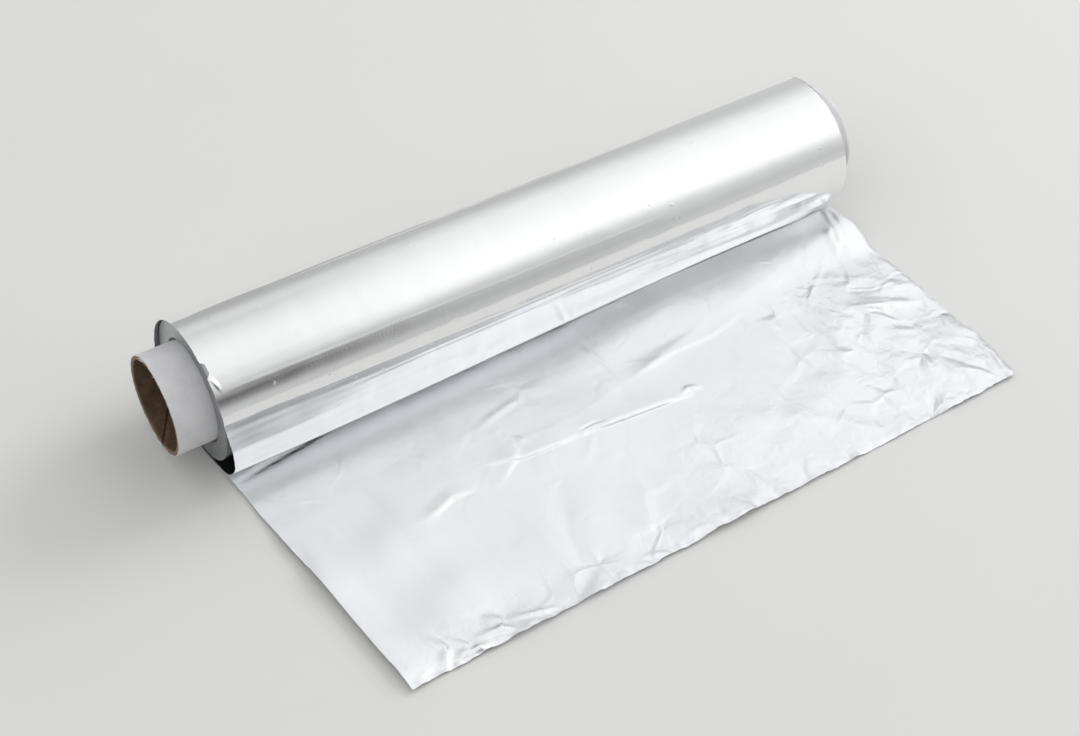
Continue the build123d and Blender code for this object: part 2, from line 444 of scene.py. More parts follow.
def make_wound_edges():
    """The cut edges of the wound turns, which show as very fine rings on the ends of the winding."""
    material, tree, shader = new_material("wound_edges")
    place = millimetres(tree)
    split = node(tree, "ShaderNodeSeparateXYZ", Vector=place)
    up = math_node(tree, "SUBTRACT", split.outputs["Z"], axis_height)
    squares = math_node(tree, "MULTIPLY", up, up)
    squares = math_node(tree, "MULTIPLY_ADD", split.outputs["Y"], split.outputs["Y"], squares)
    radius = math_node(tree, "SQRT", squares)
    rings = node(tree, "ShaderNodeTexNoise", noise_dimensions="1D", W=radius, Scale=6.0, Detail=4.0)
    cloud = node(tree, "ShaderNodeTexNoise", Vector=place, Scale=0.12, Detail=3.0)
    mixed = math_node(tree, "MULTIPLY_ADD", cloud.outputs["Fac"], 0.5, rings.outputs["Fac"])
    tint = ramp(tree, mixed, [(0.45, (0.3, 0.306, 0.313)), (1.0, (0.54, 0.549, 0.561))])
    rough = remap(tree, rings.outputs["Fac"], 0, 1, 0.22, 0.36)
    fill_inputs(tree, shader, Base_Color=tint, Metallic=1.0, Roughness=rough)
    add_bumps(tree, shader, [(rings.outputs["Fac"], 0.12)])
    return material


def make_kraft_board():
    """Brown board: fibres, clouds, dark specks, the seam between its strips, and a paler worn rim."""
    material, tree, shader = new_material("kraft_board")
    place = millimetres(tree)
    paper = place_group(tree, paper_fibres, Place=place, Fibre_Length=1.6, Cloud_Size=5.0)
    specks = node(tree, "ShaderNodeTexVoronoi", Vector=place, Scale=0.9)
    speck = math_node(tree, "LESS_THAN", specks.outputs["Distance"], 0.12)
    tone = math_node(tree, "MULTIPLY_ADD", paper.outputs["Cloud"], 0.6, paper.outputs["Fibre"])
    tone = math_node(tree, "MULTIPLY_ADD", speck, -0.25, tone)
    split = node(tree, "ShaderNodeSeparateXYZ", Vector=place)
    below = math_node(tree, "SUBTRACT", axis_height, split.outputs["Z"])
    angle = math_node(tree, "ARCTAN2", split.outputs["Y"], below)
    seam_start = 0.5 - board_seam / board_pitch
    lead = math_node(tree, "MULTIPLY_ADD", split.outputs["X"], 1 / board_pitch, seam_start)
    lead = math_node(tree, "MULTIPLY_ADD", angle, -1 / (2 * pi), lead)
    apart = math_node(tree, "SUBTRACT", math_node(tree, "FRACT", lead), 0.5)
    apart = math_node(tree, "ABSOLUTE", apart)
    seam = remap(tree, apart, 0.55 / board_pitch, 0.2 / board_pitch)
    tone = math_node(tree, "MULTIPLY_ADD", seam, -0.6, tone)
    brown = ramp(tree, tone, [
        (0.2, (0.02, 0.014, 0.01)),
        (0.55, (0.075, 0.045, 0.027)),
        (0.85, (0.14, 0.088, 0.053)),
        (1.1, (0.2, 0.135, 0.088)),
    ])
    rim_noise = math_node(tree, "MULTIPLY_ADD", paper.outputs["Fibre"], 1.6, split.outputs["X"])
    near_rim = remap(tree, rim_noise, tube_near + 1.5, tube_near + 0.7)
    torn = ramp(tree, paper.outputs["Fibre"], [
        (0.4, (0.2, 0.15, 0.11)),
        (0.75, (0.42, 0.345, 0.27)),
    ])
    tint = mix_colours(tree, near_rim, brown, torn)
    rough = remap(tree, paper.outputs["Cloud"], 0, 1, 0.8, 0.95)
    fill_inputs(tree, shader, Base_Color=tint, Roughness=rough, Specular_IOR_Level=0.25)
    add_bumps(tree, shader, [(paper.outputs["Fibre"], 0.16), (paper.outputs["Cloud"], 0.2)])
    return material


def make_white_paper():
    """The bleached outer ply: a smooth matt paper with faint fibres and the shade of the board below."""
    material, tree, shader = new_material("white_paper")
    place = millimetres(tree)
    paper = place_group(tree, paper_fibres, Place=place, Fibre_Length=1.1, Cloud_Size=7.0)
    tone = math_node(tree, "MULTIPLY_ADD", paper.outputs["Cloud"], 0.7, paper.outputs["Fibre"])
    white = ramp(tree, tone, [
        (0.6, (0.63, 0.63, 0.65)),
        (0.9, (0.7, 0.7, 0.72)),
        (1.15, (0.74, 0.74, 0.755)),
    ])
    rough = remap(tree, paper.outputs["Cloud"], 0, 1, 0.65, 0.8)
    fill_inputs(tree, shader, Base_Color=white, Roughness=rough, Specular_IOR_Level=0.35)
    add_bumps(tree, shader, [(paper.outputs["Fibre"], 0.05), (paper.outputs["Cloud"], 0.1)])
    return material


def make_table_top():
    """The pale painted table."""
    material, tree, shader = new_material("table_top")
    place = millimetres(tree)
    cloud = node(tree, "ShaderNodeTexNoise", Vector=place, Scale=0.006, Detail=3.0)
    paint = ramp(tree, cloud.outputs["Fac"], [
        (0.3, (0.722, 0.722, 0.708)),
        (0.7, (0.738, 0.738, 0.724)),
    ])
    fill_inputs(tree, shader, Base_Color=paint, Roughness=0.75, Specular_IOR_Level=0.2)
    return material


bright_foil = make_foil_finish("bright_foil", (0.96, 0.965, 0.97), 0.1, 0.008, 0.07)
satin_foil = make_foil_finish("satin_foil", (0.935, 0.953, 0.972), 0.32, 0.002, 0.04, crumpled=True)
# Foil in the gap between the loose turn and the winding: its dark colour is painted shade, and this
# lighter colour is painted light where light gets in at the back.
painted_light_in_gap = (0.42, 0.43, 0.44)
painted_shade_foil = make_foil_finish("painted_shade_foil", (0.13, 0.132, 0.135), 0.3, 0.002, 0.04, painted_light=painted_light_in_gap)
wound_edges = make_wound_edges()
kraft_board = make_kraft_board()
white_paper = make_white_paper()
table_top = make_table_top()


def dress(piece, slot, *materials):
    """A piece gets its materials and rides on the part. Its slot is not used."""
    for material in materials:
        piece.data.materials.append(material)
    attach(piece, "root")
    return piece


def give_wall(piece, wall):
    """The web's wall, laid inside the side that was drawn, with the second material on it."""
    solid = piece.modifiers.new("wall", "SOLIDIFY")
    solid.thickness = wall * MM
    solid.offset = -1.0
    solid.material_offset = 1
    solid.material_offset_rim = 0


# Core: the board tube and its white ply


def helix_distance(x, angle, radius, pitch, start):
    """How far a point of a cylinder lies from a helical seam, across the seam, in millimetres."""
    lead = (x - start) / pitch - angle / (2 * pi)
    apart = (lead + 0.5) % 1.0 - 0.5
    slope = pitch / (2 * pi * radius)
    return apart * pitch / hypot(1.0, slope)


def cut_rim(end, outwards, angles):
    """The rough cut rim at one end of the board tube, from its bore to its outside."""
    rings = []
    for share in (0.06, 0.3, 0.6, 0.85, 1.0):
        radius = core_bore + share * (board_outside - core_bore)
        rough = 0.16 * soft_noise(radius * 2.2, angles * 19, 0.9, 9)
        rough = rough + 0.1 * soft_noise(radius, angles * 19, 3.5, 4)
        set_back = 0.2 if share < 0.1 else 0.1
        rings.append(around_axis(end + outwards * (rough - set_back), radius, angles))
    return rings


def make_board_tube():
    """The board tube: its bore shows the seam between two windings of ply, and its cut rims are rough."""
    angles = np.linspace(0, 2 * pi, 240, endpoint=False)
    depth = [np.linspace(0, 1, 6)[1:] ** 1.5 * 4, np.linspace(6, 40, 24), np.linspace(60, 300, 9)]
    inside_x = np.concatenate([tube_near + np.concatenate(depth), [tube_far - 1.0]])
    rows = []
    for x in inside_x:
        seam = helix_distance(x, angles, core_bore, board_pitch, board_seam)
        groove = 0.35 * np.exp(-((seam / 0.5) ** 2))
        lap = 0.12 * ease(seam / 1.5) * ease((12 - seam) / 12)
        swell = 0.04 * soft_noise(x, angles * 19, 3.0, 5)
        rows.append(around_axis(x, core_bore + groove - lap + swell, angles))
    rows += cut_rim(tube_far, 1, angles)
    rows.append(around_axis(0.0, board_outside, angles))
    rows += reversed(cut_rim(tube_near, -1, angles))
    tube = grid_piece("board_tube", np.array(rows), round_rows=True, round_columns=True)
    return dress(tube, "kraft_board", kraft_board)


def make_torn_fibres():
    """Slivers of white paper that stand off the near rim, where the ply was torn."""
    local = np.random.RandomState(17)
    corners, quads = [], []
    for _ in range(22):
        middle = radians(local.normal(152, 11))
        length = local.uniform(0.5, 1.9)
        half = local.uniform(0.08, 0.22) / wrap_outside
        lift = local.uniform(-0.2, 0.9)
        lean = local.uniform(-0.5, 0.5) / wrap_outside
        for t in np.linspace(0, 1, 5):
            x = tube_near + 0.6 - t * length * (1 - 0.3 * lift * t)
            radius = wrap_outside - 0.1 + lift * t ** 2 * length
            for side in (-1, 1):
                aside = side * half * (1 - 0.75 * t) + lean * t * length
                corners.append(around_axis(x, radius, middle + aside) * MM)
        start = len(corners) - 10
        quads += [(start + i, start + i + 2, start + i + 3, start + i + 1) for i in (0, 2, 4, 6)]
    mesh = bpy.data.meshes.new("torn_fibres")
    mesh.from_pydata([tuple(c) for c in corners], [], quads)
    fibres = place_piece("torn_fibres", mesh)
    solid = fibres.modifiers.new("wall", "SOLIDIFY")
    solid.thickness = 0.08 * MM
    return dress(fibres, "white_paper", white_paper)


def make_white_wrap():
    """The white ply: one strip wound in a helix, with a faint lap and a frayed near edge."""
    angles = np.linspace(0, 2 * pi, 300, endpoint=False)
    rim = angles * 21
    frayed_top = np.exp(-(((angles - radians(153)) / 0.28) ** 2))
    fray = 0.22 * soft_noise(rim, 0 * rim, 1.3, 14) + 0.18 * soft_noise(rim, 0 * rim, 0.5, 15)
    tufts = 0.35 * frayed_top * (soft_noise(rim, 0 * rim, 0.9, 16) > 0.15)
    fray = fray * (0.35 + 1.4 * frayed_top) + tufts
    wrap_length = tube_far - tube_near
    outside_x = [np.linspace(0, 16, 33), np.linspace(24, 300, 12), np.linspace(316, wrap_length, 8)]
    rows = []
    for x in np.concatenate(outside_x):
        seam = helix_distance(tube_near + x, angles, wrap_outside, wrap_pitch, wrap_seam)
        lap = 0.07 * ease((seam + 0.4) / 0.8) * ease((7 - seam) / 7)
        curl = 0.12 * frayed_top * np.exp(-x / 0.7)
        start = fray * np.exp(-x / 0.8)
        swell = 0.03 * soft_noise(tube_near + x, rim, 6.0, 7)
        radius = wrap_outside - 0.08 + lap + curl + swell
        rows.append(around_axis(tube_near + x + start, radius, angles))
    inside = [around_axis(end, wrap_inside, angles) for end in (tube_far, tube_near + fray)]
    wrap = grid_piece("white_wrap", np.array(rows + inside), round_rows=True, round_columns=True)
    return dress(wrap, "white_paper", white_paper)


# Foil: the winding


def make_winding():
    """The wound turns: their edges are fine rings on both ends, and the first turns sit back."""
    angles = np.linspace(0, 2 * pi, 288, endpoint=False)
    turns = np.linspace(winding_bore + 0.35, winding_radius - 0.12, 40)
    ring_radii = np.concatenate([[winding_bore], turns])
    steps = np.random.RandomState(4).uniform(-1, 1, len(ring_radii))
    near, far = [], []
    for radius, step in zip(ring_radii, steps):
        sunk = 1.7 * (1 - ease((radius - winding_bore - 0.2) / 0.8))
        depth = sunk + 0.12 + 0.07 * step + 0.1 * soft_noise(radius * 0.6, angles * 9, 5.0, 8)
        near.append(around_axis(depth - half_width, radius, angles))
        far.append(around_axis(half_width - depth, radius, angles))
    rim = half_width - 0.1
    outer = [around_axis(x, winding_radius - 0.03, angles) for x in (-rim, 0.0, rim)]
    rows = near + outer + far[::-1]
    winding = grid_piece("foil_winding", np.array(rows), round_rows=True, round_columns=True)
    dress(winding, "foil", wound_edges, painted_shade_foil)
    # Painted shade in the gap: where the winding's outside faces sideways or down it takes the dark
    # painted-shade foil; where it faces up it keeps the grey of the wound edges, also a painted shade in
    # place of bright foil.
    for polygon in winding.data.polygons:
        if abs(polygon.normal.x) < 0.2 and polygon.normal.z < 0.3:
            polygon.material_index = 1
    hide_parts("foil")
    return winding


# Foil: the loose turn

# The turn's outline: angles that go from straight below, first up the back, then its distance off the
# winding towards the near end and at the far end, and how far it has crept towards the near end. The
# front hangs nearly plumb from a kink at 262 degrees, and curls under from 299 degrees.
turn_profile = [
    (9.6, 0.5, 0.5, 1.0),
    (18, 1.4, 1.0, 1.9),
    (60, 0.8, 0.5, 2.0),
    (120, 0.45, 0.35, 1.5),
    (180, 0.5, 0.45, 0.8),
    (225, 0.65, 0.6, 0.3),
    (254, 0.75, 0.75, 0.1),
    (262, 0.85, 0.85, -0.3),
    (266, 0.8, 0.8, -0.5),
    (270, 0.85, 0.8, -0.8),
    (276, 1.2, 1.0, -1.1),
    (284, 2.25, 1.9, -1.5),
    (292, 4.05, 2.8, -1.8),
    (296, 5.3, 2.9, -1.8),
    (299, 6.2, 2.75, -1.2),
    (303, 6.3, 2.5, -0.4),
    (308, 5.6, 2.05, 0.0),
    (314, 4.2, 1.4, 0.0),
    (320, 2.7, 0.8, 0.0),
    (326, 1.4, 0.3, 0.0),
    (332, 0.4, -0.2, 0.0),
    (338, -0.5, -0.5, 0.0),
]
# How much further the turn stands off at its near end, where the kink lies lower, at 278 degrees
near_end_facet = [
    (252, 0.0), (262, -0.18), (270, 0.4), (278, 1.1),
    (284, 0.9), (292, 0.6), (299, 0.4), (308, 0.0),
]

# A small torn lip at the near edge, as places along X and round the winding
torn_lip = [(-149.9, 110.3), (-148.9, 110.8), (-148.2, 112.6), (-147.6, 114.7)]

# Where the slack starts to taper off along the roll, and over what length
slack_end = -120.0
slack_taper = 220.0

# Long ridges of the loose turn: their angle at the near and the far end, where they run along X,
# their height and their half width in millimetres
turn_ridges = [
    (226.5, 232.0, -150, 60, 0.1, 0.7),
    (229.0, 234.0, -140, 20, 0.05, 0.5),
    (252.5, 259.0, -125, 60, 0.14, 1.2),
    (263.5, 259.5, -115, 70, -0.12, 0.9),
    (152.0, 151.0, -145, -30, 0.12, 1.6),
    (158.0, 156.0, -120, 90, 0.06, 1.1),
    (262.0, 272.0, 40, 135, 0.07, 1.5),
    (268.0, 278.0, 60, 145, -0.05, 1.3),
    (301.5, 299.5, -150, 150, -0.12, 0.6),
]
soft_ridge_count = 46
dent_count = 26


def turn_distance(x, angle):
    """How far the loose turn stands off the winding, and how far it has crept, over a grid."""
    table = np.array(turn_profile)
    shift = 14.0 * ease((x - 105) / 40) * ease((angle - 235) / 20) * ease((318 - angle) / 20)
    at = angle - shift
    near = np.interp(at, table[:, 0], table[:, 1])
    far = np.interp(at, table[:, 0], table[:, 2])
    creep = np.interp(angle, table[:, 0], table[:, 3])
    facet = between(near_end_facet, angle) * (1 - ease((x + 135) / 60))
    return near + facet + (far - near) * ease((x - slack_end) / slack_taper), creep


def turn_marks(x, angle):
    """The height of the marks on the loose turn: long ridges, softer ones between them, and dents."""
    wobble = 0.5 * soft_noise(x, angle, 45.0, 31) + 0.3 * soft_noise(x, angle * 1.5, 16.0, 32)
    marks = np.zeros(x.shape)
    for near_angle, far_angle, start, stop, height, half in turn_ridges:
        along = (x - start) / (stop - start)
        centre = near_angle + (far_angle - near_angle) * along + wobble
        across = np.abs(np.radians(angle - centre)) * winding_radius / half
        window = ease(along * 8) * ease((1 - along) * 8)
        marks = marks + height * np.clip(1 - across, 0, 1) ** 1.5 * window
    calm = 1 - 0.7 * ease((angle - 256) / 8) * ease((306 - angle) / 8)
    for _ in range(soft_ridge_count):
        centre = rng.uniform(120, 330) + rng.uniform(-3, 3) * x / half_width + wobble
        middle = rng.uniform(-150, 150)
        reach = rng.uniform(20, 90)
        height = rng.uniform(-0.022, 0.022)
        across = np.radians(angle - centre) * winding_radius / rng.uniform(0.8, 3.0)
        marks = marks + calm * height * np.exp(-across ** 2 - ((x - middle) / reach) ** 4)
    for _ in range(dent_count):
        place = rng.uniform(140, 300)
        middle = rng.uniform(-145, 145)
        height = rng.uniform(-0.09, 0.07)
        size = rng.uniform(0.9, 1.8)
        across = np.radians(angle - place) * winding_radius
        marks = marks + height * np.exp(-(across ** 2 + (x - middle) ** 2) / size ** 2)
    return marks


def make_turn():
    """The loose turn: bright outside, its inside painted dark as shade in the gap and lighter on the back
    as painted light, with long ridges and a slack front.
    """
    first, last = turn_profile[0][0], turn_profile[-1][0]
    angles = np.linspace(first, last, turn_rows)
    angle, share = np.meshgrid(angles, grid_places(turn_columns), indexing="ij")
    x = (share - 0.5) * foil_width
    slack, creep = turn_distance(x, angle)
    slack = blur(slack, 2)
    snug = ease((x - 132) / 16) * ease((angle - 262) / 12) * ease((330 - angle) / 8)
    slack = slack + (0.35 - slack) * snug
    arc = radians(1) * winding_radius * angle
    slack = slack + crease_lift(x, arc, torn_lip, 0.7, 0.4, 1.5)
    slack = slack + turn_marks(x, angle)
    slack = slack + 0.05 * soft_noise(x, angle, 60.0, 33) + 0.02 * soft_noise(x, angle, 9.0, 34)
    radians_round = np.radians(angle)
    on_table = axis_height / np.cos(np.minimum(radians_round, 1.0))
    radius = np.where(angle < 40, np.minimum(winding_radius + slack, on_table), winding_radius + slack)
    round_edge = angle * 0.5
    ragged = 0.12 * soft_noise(round_edge, share, 1.4, 35) + 0.1 * soft_noise(round_edge, share, 0.5, 36)
    edge = np.exp(-(share * 60)) - np.exp(-((1 - share) * 60))
    bite = 1.5 * ease((angle - 200.5) / 2.5) * ease((214 - angle) / 4) * (share < 0.5)
    ragged = ragged + bite
    inset = 0.3 * ease((angle - 325) / 10) * (1 - 2 * share)
    points = around_axis(x - creep + ragged * edge + inset, radius, radians_round)
    # How much painted light the inside of the turn takes: full up the back, from 60 to 140 degrees, and
    # none elsewhere, where it keeps its painted shade.
    painted_light = ease((angle - 30) / 30) * ease((170 - angle) / 30)
    web = np.stack([share * foil_width, radians_round * winding_radius, painted_light], axis=-1)
    turn = grid_piece("foil_turn", points[:, ::-1], web[:, ::-1])
    give_wall(turn, web_wall)
    dress(turn, "foil", bright_foil, painted_shade_foil)
    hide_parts("foil")
    return turn


# Foil: the sheet

# The far edge in plan, which isn't straight
far_edge = [(5, 150.5), (-16, 152.5), (-26, 155), (-34, 157.6), (-46, 158.8), (-60, 160.7), (-77, 162.9),
            (-98, 165.3), (-122, 167.8), (-137, 166.4)]

# Broad swells: centre, the two radii and the rise
swells = [
    ((-106, -88), (24, 16), 0.98),
    ((-112, -70), (12, 9), -0.56),
    ((-40, -104), (30, 20), 0.91),
    ((-66, -56), (34, 10), 0.56),
    ((60, -106), (30, 18), 0.84),
    ((128, -96), (24, 18), 0.84),
    ((152, -34), (15, 11), 3.6),
    ((152, -126), (12, 12), 0.98),
    ((-120, -126), (16, 10), 0.84),
    ((-96, -114), (15, 12), 1.0),
    ((-84, -144), (14, 8), 1.6),
    ((14, -142), (16, 8), 1.6),
    ((-139, -104), (10, 26), 0.56),
    ((4, -132), (20, 9), 0.63),
]

# Creases: the points of each crest in plan, its height, and its half width towards the roll and away
# from it. A negative height is a valley. A crest with a sharp foot is steep on its free side, as a
# fold is.
creases = [
    ([(-147, -29), (-135, -26.6), (-117, -24.3), (-102, -22)], -0.6, 1.8, 2.2),
    ([(146, -34), (106, -42), (66, -49), (19, -60)], 0.75, 14.0, 9.0),
    ([(19, -60), (-10, -66), (-57, -66)], 0.45, 12.0, 10.0),
    ([(-57, -68), (-41, -72.5), (-28, -73.2), (-14.1, -74)], 0.8, 11.0, 2.2, True),
    ([(-14.1, -74), (-8.4, -73.6), (-2.6, -74.5), (36.6, -76.8)], 1.2, 11.0, 2.6, True),
    ([(34, -76.6), (38, -75.2), (42.6, -77.1)], 0.7, 2.2, 1.4, True),
    ([(-14.5, -73.2), (-8, -72.6), (-3, -74)], -0.7, 1.0, 0.8),
    ([(-43.8, -61.7), (-43.2, -68.4), (-46.2, -72.4), (-56.3, -78.8)], 0.4, 8.0, 2.0, True),
    ([(-39.5, -62.5), (-37.5, -68)], 0.5, 1.4, 1.0, True),
    ([(-92, -80), (-83.5, -78), (-77.6, -75.8), (-69, -76.1)], 0.8, 5.0, 2.2, True),
    ([(-50, -52), (-40.2, -49), (-25.3, -45.9)], 0.35, 3.0, 2.0),
    ([(-40, -33), (-30, -35.5), (-22.9, -37.5)], 0.2, 2.0, 1.5),
    ([(12.6, -34), (13.2, -40), (15.6, -52.5), (16.7, -60)], 0.4, 1.4, 1.4),
    ([(18, -60), (42.5, -56), (64.5, -55.9), (88, -51)], 0.45, 6.0, 2.2),
    ([(12.8, -60), (11.5, -66), (13.5, -71)], -0.25, 5.0, 4.0),
    ([(-11, -77), (-15.1, -82.2), (-21.4, -87.4)], 0.3, 3.0, 2.0),
    ([(-9.3, -111.1), (-2, -111.8), (3.9, -111.1)], 0.4, 2.0, 1.0, True),
    ([(11.6, -34), (13.5, -45.1)], 0.3, 1.2, 1.0),
    ([(17.0, -34), (19, -46)], 0.25, 1.2, 1.0),
    ([(138.5, -41.5), (124, -52.7), (115, -59)], 0.35, 1.2, 1.2),
    ([(146, -30), (142.5, -38), (141.5, -45)], 0.77, 2.0, 2.2),
    ([(149.5, -30), (146, -40), (140, -44)], 0.56, 1.6, 1.6),
    ([(152, -24), (149, -35)], -0.63, 2.0, 2.0),
    ([(132, -58), (134, -64), (151, -72)], -0.63, 3.0, 5.0),
    ([(124, -73), (148, -81), (164, -87)], 0.91, 7.0, 3.0),
    ([(134, -92), (144, -97)], 0.63, 4.0, 2.5),
    ([(117, -89), (121, -94), (130, -95.5)], -0.49, 2.0, 3.0),
    ([(143, -112), (150, -120), (161, -136)], -0.77, 4.0, 4.0),
    ([(152, -106), (164, -116)], 0.56, 4.0, 3.0),
    ([(166, -121), (164, -129), (163, -137)], 0.63, 1.5, 1.5),
    ([(160, -116), (163, -124), (161.5, -134)], -0.56, 1.2, 1.2),
    ([(84, -92), (104, -99), (120, -112)], -0.56, 9.0, 7.0),
    ([(60, -106), (78, -116), (96, -132)], 0.77, 8.0, 6.0),
    ([(-6, -106), (-12, -118), (-18, -131)], 0.7, 14.0, 5.0),
    ([(-36, -92), (-46, -112), (-50, -134)], -0.49, 10.0, 10.0),
    ([(-117, -128), (-114, -134), (-119, -143)], 1.6, 3.0, 2.0),
    ([(-111, -131), (-107, -137), (-113, -141)], 1.3, 2.0, 2.4),
    ([(-110, -139.5), (-99, -140)], 1.8, 1.6, 2.2),
    ([(-101, -136), (-91, -137), (-86, -141)], 1.6, 2.4, 1.4),
    ([(-94, -129), (-90, -133), (-92, -138)], 1.2, 2.0, 2.4),
    ([(-88, -134), (-78, -137), (-66, -140)], 1.2, 2.2, 1.4),
    ([(-27, -136.5), (-20, -138), (-15, -141)], 0.7, 1.6, 1.4),
    ([(-6, -137), (2, -136), (8, -139.5)], 0.56, 1.8, 1.4),
    ([(-143, -66), (-141, -80)], -0.49, 3.0, 3.0),
    ([(127.9, -74), (140.5, -80.3), (148.7, -81.8), (152.4, -87.3)], 0.45, 3.0, 0.8, True),
    ([(131.8, -58), (133.5, -64.1), (142.3, -68.9), (151.9, -69.8)], 0.5, 4.0, 0.9, True),
    ([(105.4, -76.9), (112, -81.1), (119.3, -83.1)], 0.35, 3.0, 0.8, True),
    ([(117.4, -84.7), (120.3, -94.3), (128.5, -95.2)], 0.4, 3.0, 0.8, True),
    ([(134.4, -92), (143, -96.6), (150.5, -96.5), (156.1, -98.6)], 0.4, 3.0, 0.8, True),
    ([(138.4, -104.2), (144.4, -105.8), (151.9, -105.7)], 0.4, 2.5, 0.8, True),
    ([(142.8, -113.8), (143.4, -122.4), (154, -129.1), (159.3, -136.7)], 0.55, 4.0, 1.0, True),
    ([(158.2, -117.4), (164.2, -119.1), (166, -123.9), (163.5, -134.4)], 0.45, 1.5, 0.8, True),
    ([(122.7, -104.8), (127.6, -106.5), (132.5, -104.4)], 0.35, 2.0, 0.8, True),
    ([(110.6, -126), (116.1, -127.8)], 0.3, 2.0, 0.8, True),
    ([(125, -52), (115.1, -59.3), (110.5, -65.3)], 0.3, 1.0, 0.8),
]


def near_edge_x(y):
    """The sheet's near edge in plan, which runs askew to the roll."""
    return -half_width - (y + skew_pivot) * tan(radians(sheet_skew))


def far_edge_x(y):
    """The sheet's far edge in plan."""
    return between(far_edge[::-1], y)


def crease_lift(x, y, points, height, roll_side, free_side, sharp_foot=False):
    """The height that a crease adds over a grid: a sharp crest with soft feet, fading at both ends."""
    best = np.full(x.shape, 1e9)
    across = np.zeros(x.shape)
    along = np.zeros(x.shape)
    passed = 0.0
    for (x0, y0), (x1, y1) in zip(points, points[1:]):
        length = hypot(x1 - x0, y1 - y0)
        run = ((x - x0) * (x1 - x0) + (y - y0) * (y1 - y0)) / length
        side = ((y - y0) * (x1 - x0) - (x - x0) * (y1 - y0)) / length
        inside = np.clip(run, 0, length)
        distance = np.hypot(side, run - inside)
        nearer = distance < best
        best = np.where(nearer, distance, best)
        across = np.where(nearer, side, across)
        along = np.where(nearer, passed + inside, along)
        passed += length
    if points[0][0] > points[-1][0]:
        across = -across
    width = np.where(across > 0, roll_side, free_side)
    tent = np.clip(1 - best / width, 0, 1) ** 1.5
    if sharp_foot:
        tent = np.where(across > 0, tent, np.clip(1 - (best / width) ** 3.5, 0, 1))
    fade = min(0.35 * passed, 14.0)
    return height * tent * (0.25 + 0.75 * ease(along / fade) * ease((passed - along) / fade))


def crumple_strength(x, y):
    """How crumpled the sheet is, from 0 to 1: most at the far side and along the free edge."""
    far_side = ease((x - 62) / 72) * ease((-y - 34) / 34)
    middle = 0.45 * ease((x + 20) / 60) * ease((-y - 78) / 24)
    front = 0.55 * ease((-y - 118) / 20)
    return np.clip(0.14 + np.maximum(np.maximum(far_side, middle), front), 0, 1)


def facets(x, y, spacing, lift, seed, turn=0.0, stretch=1.0):
    """A surface of flat facets between crumple points about a spacing apart, stretched one way."""
    local = np.random.RandomState(seed)
    x, y = (x * cos(turn) + y * sin(turn)) / stretch, y * cos(turn) - x * sin(turn)
    corners = []
    for gx in np.arange(-190, 200, spacing):
        for gy in np.arange(-240, 130, spacing):
            px = gx + local.uniform(-0.48, 0.48) * spacing
            py = gy + local.uniform(-0.48, 0.48) * spacing
            corners.append((px, py))
    triangulation = geometry.delaunay_2d_cdt([Vector(c) for c in corners], [], [], 0, 1e-5)
    spots = [(v.x, v.y, local.uniform(-1, 1) * lift) for v in triangulation[0]]
    tree = BVHTree.FromPolygons(spots, triangulation[2])
    down = Vector((0, 0, -1))
    heights = [tree.ray_cast(Vector((px, py, 50.0)), down)[0].z for px, py in zip(x.ravel(), y.ravel())]
    return np.array(heights).reshape(x.shape)


def sheet_height(x, y, across, down, rough):
    """How high the sheet lies over a grid: its rise to the roll, swells, creases, facets and edges."""
    z = roll_side_hover + (sheet_hover - roll_side_hover) * ease((-48 - y) / 30)
    apron = ease((-34 - y) / 36) * (1 - ease((-66 - y) / 40))
    z = z + 1.6 * apron * (1 - ease((x + 10) / 55))
    hump = 0.75 + 2.65 * ease((x + 12) / 75)
    z = z + hump * np.clip((y + 50) / 29, 0, 1) ** 1.15
    near_rise = np.exp(-((x - near_edge_x(y)) / 9.0) ** 2)
    z = z + 1.5 * near_rise * ease((-y - 70) / 20) * ease((y + 150) / 16)
    for (cx, cy), (rx, ry), rise in swells:
        z = z + rise * np.exp(-(((x - cx) / rx) ** 2) - ((y - cy) / ry) ** 2)
    for crease in creases:
        z = z + crease_lift(x, y, *crease)
    z = z + rough * blur(facets(x, y, 18.0, 1.1, 61), 1)
    z = z + rough ** 1.5 * blur(facets(x, y, 7.5, 0.45, 62, radians(-35), 1.9), 1)
    z = z + 0.05 * (1 - rough) * soft_noise(x, y, 14.0, 63)
    front_band = np.exp(-(((1 - down) * 50) ** 2))
    z = z + front_band * 0.5 * soft_noise(x, y, 3.2, 64)
    turned_down = ease((across - 298.4) / 1.6) * ease((-y - 24) / 6)
    z = z - 1.1 * turned_down * (0.5 + 0.5 * soft_noise(y, 0 * y, 17.0, 65))
    z = np.maximum(z, 0.06)
    return z * ease((bed_front - y + 1.0) / 6.5)


